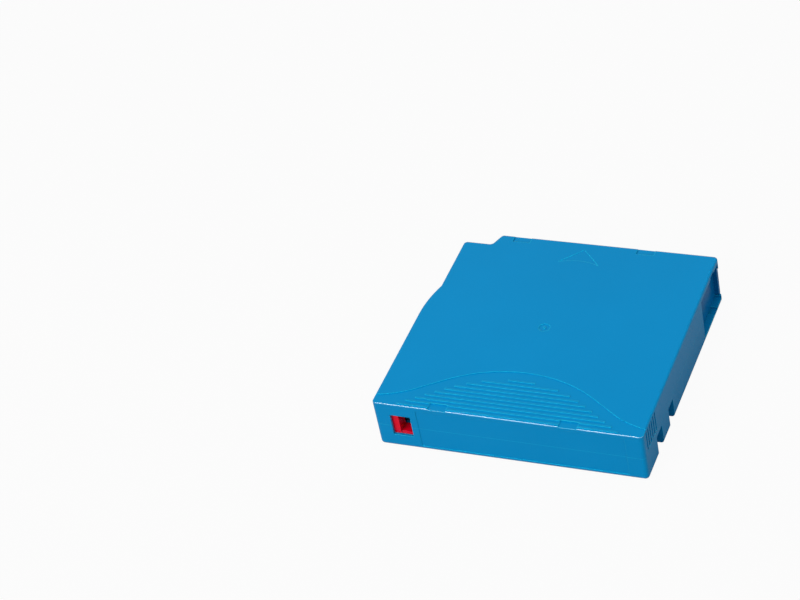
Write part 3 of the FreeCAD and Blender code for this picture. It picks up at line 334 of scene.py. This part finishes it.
def round_coil(name, radius, wire, start, end, turns, closed_turns=1.0):
    """A coil of round wire from start to end, its last turn at each end laid flat."""
    curve = bpy.data.curves.new(name, "CURVE")
    curve.dimensions = "3D"
    curve.bevel_depth = wire / 2
    curve.bevel_resolution = 3
    curve.use_fill_caps = True
    axis = (end - start).normalized()
    across = axis.orthogonal().normalized()
    beside = axis.cross(across)
    total = turns + 2 * closed_turns
    count = int(total * STEPS_PER_TURN)
    length = (end - start).length - wire
    closed_rise = wire * CLOSED_PITCH * closed_turns
    open_rise = length - 2 * closed_rise
    line = curve.splines.new("POLY")
    line.points.add(count)
    for number in range(count + 1):
        turned = number / STEPS_PER_TURN
        if turned < closed_turns:
            rise = closed_rise * turned / closed_turns
        elif turned > total - closed_turns:
            rise = length - closed_rise * (total - turned) / closed_turns
        else:
            rise = closed_rise + open_rise * (turned - closed_turns) / turns
        angle = 2 * math.pi * turned
        direction = across * math.cos(angle) + beside * math.sin(angle)
        place = start + axis * (wire / 2 + rise) + direction * radius
        line.points[number].co = (*place, 1.0)
    shape = bpy.data.objects.new(name, curve)
    bpy.context.collection.objects.link(shape)
    bpy.context.view_layer.update()
    graph = bpy.context.evaluated_depsgraph_get()
    mesh = bpy.data.meshes.new_from_object(shape.evaluated_get(graph))
    bpy.data.objects.remove(shape)
    mesh.name = name
    for polygon in mesh.polygons:
        polygon.use_smooth = True
    coil = bpy.data.objects.new(name, mesh)
    bpy.context.collection.objects.link(coil)
    coil.data.materials.clear()
    coil.data.materials.append(MATERIALS["spring_steel"])
    return coil


def spring_ends(box, along):
    """The middle of a spring's first and last face, and its outer radius."""
    first = Vector(box[0])
    last = Vector(box[1])
    start = (first + last) / 2
    end = start.copy()
    start[along] = first[along]
    end[along] = last[along]
    across = 0 if along != 0 else 1
    return start, end, (last[across] - first[across]) / 2


DOOR_WIRE = 0.35 * MM
DOOR_TURNS = 11
BRAKE_WIRE = 0.65 * MM
BRAKE_TURNS = 2

start, end, outer = spring_ends(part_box("door_spring"), 1)
door_coil = round_coil("door_coil", outer - DOOR_WIRE / 2, DOOR_WIRE, start, end, DOOR_TURNS)
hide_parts("door_spring")
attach(door_coil, "case")
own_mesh(door_coil)

start, end, outer = spring_ends(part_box("brake_spring"), 2)
brake_coil = round_coil("brake_coil", outer - BRAKE_WIRE / 2, BRAKE_WIRE, start, end, BRAKE_TURNS)
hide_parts("brake_spring")
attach(brake_coil, "case")
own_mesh(brake_coil)


# ---------------------------------------------------------------- stage, light and camera

FLOOR_SIZE = 6.0
FLOOR_GAP = 0.02 * MM
FLOOR_GREY = (0.33, 0.33, 0.33)
FLOOR_DARKER = (0.30, 0.30, 0.30)
FLOOR_GLOW = 0.95
WORLD_LIGHT = 0.45

# place, width and height, power, and whether it gives glints and no light on matt surfaces
LAMPS = {
    "key_box": ((-0.50, -1.15, 0.80), (0.90, 0.90), 15.4, False),
    "top_box": ((-0.10, 0.10, 1.50), (0.80, 0.80), 5.6, False),
    "side_box": ((1.20, -0.30, 0.50), (0.90, 0.90), 3.0, False),
    "edge_box": ((-0.50, -1.00, 1.05), (1.40, 0.40), 9.0, True),
}

CAMERA_LENS = 109.08
CAMERA_SEAT = (292.71 * MM, -635.50 * MM, 604.40 * MM)
CAMERA_TURN = (50.3236, 9.8093, 20.9497)


def stage_floor():
    """A floor that takes a soft shadow. The camera sees it nearly white, and what it throws
    back on the cartridge is as weak as from a grey one."""
    bpy.ops.mesh.primitive_plane_add(size=FLOOR_SIZE, location=(0, 0, low.z - FLOOR_GAP))
    floor = bpy.context.object
    floor.name = "floor"
    material, nodes, link, shader = new_material("floor_finish")
    shade = spread(nodes, link, noise(nodes, link, object_coordinates(nodes), 3.0), 0.0, 1.0)
    link(tinted(nodes, link, shade, FLOOR_GREY, FLOOR_DARKER), shader.inputs["Base Color"])
    shader.inputs["Roughness"].default_value = 0.9
    glow = node(nodes, "ShaderNodeEmission", Strength=1.0)
    seen = nodes.new("ShaderNodeLightPath").outputs["Is Camera Ray"]
    blend = nodes.new("ShaderNodeMixShader")
    link(ranged(nodes, link, seen, most=FLOOR_GLOW), blend.inputs["Fac"])
    link(shader.outputs[0], blend.inputs[1])
    link(glow.outputs[0], blend.inputs[2])
    link(blend.outputs[0], nodes["Material Output"].inputs["Surface"])
    floor.data.materials.append(material)


def lamp(name, place, size, power, glints_only):
    """A soft box that faces the middle of the cartridge."""
    data = bpy.data.lights.new(name, "AREA")
    data.shape = "RECTANGLE"
    data.size = size[0]
    data.size_y = size[1]
    data.energy = power
    item = bpy.data.objects.new(name, data)
    item.location = place
    item.visible_diffuse = not glints_only
    item.rotation_euler = (middle - Vector(place)).to_track_quat("-Z", "Y").to_euler()
    bpy.context.collection.objects.link(item)


def light_up():
    """A white surround, dimmer as light than it looks, and the lamps."""
    world = bpy.data.worlds.new("studio")
    world.use_nodes = True
    bpy.context.scene.world = world
    nodes = world.node_tree.nodes
    link = world.node_tree.links.new
    sky = nodes["Background"]
    sky.inputs["Color"].default_value = (1.0, 1.0, 1.0, 1.0)
    seen = nodes.new("ShaderNodeLightPath").outputs["Is Camera Ray"]
    link(ranged(nodes, link, seen, least=WORLD_LIGHT), sky.inputs["Strength"])
    for name, settings in LAMPS.items():
        lamp(name, *settings)


def add_camera():
    """The camera, where the photo was taken from and turned as it was."""
    data = bpy.data.cameras.new("camera")
    data.lens = CAMERA_LENS
    data.sensor_width = 36.0
    data.clip_start = 0.05
    camera = bpy.data.objects.new("camera", data)
    camera.location = middle + Vector(CAMERA_SEAT)
    camera.rotation_euler = [math.radians(angle) for angle in CAMERA_TURN]
    bpy.context.collection.objects.link(camera)
    bpy.context.scene.camera = camera


stage_floor()
light_up()
add_camera()
bpy.context.scene.view_settings.view_transform = "Standard"
